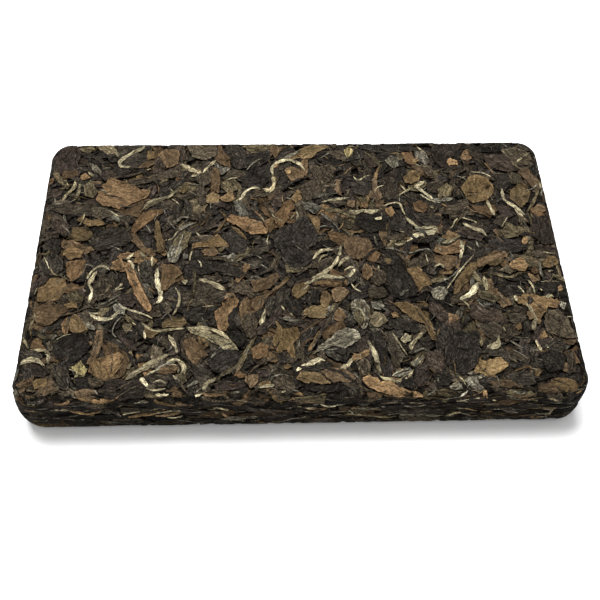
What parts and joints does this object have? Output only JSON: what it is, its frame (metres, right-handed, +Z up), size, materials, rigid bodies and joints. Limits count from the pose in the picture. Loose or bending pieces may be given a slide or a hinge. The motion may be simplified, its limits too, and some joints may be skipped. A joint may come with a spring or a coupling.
{
  "type": "pressed tea brick",
  "caption": "Flat rectangular brick of pressed white tea with rounded corners, mottled leaves on its broad faces and layered leaf edges round the sides.",
  "frame": {"origin": "middle of the underside, on the surface that the brick lies on", "axes": "+Z up through the brick's thickness, +X along its length to the right as seen from the front, +Y across its depth towards the back"},
  "size_m": [0.25, 0.15, 0.0275],
  "materials": {
    "pressed_tea_leaf": "matt, dry"
  },
  "bodies": {
    "root": {"tea_brick": "pressed_tea_leaf"}
  },
  "joints": []
}
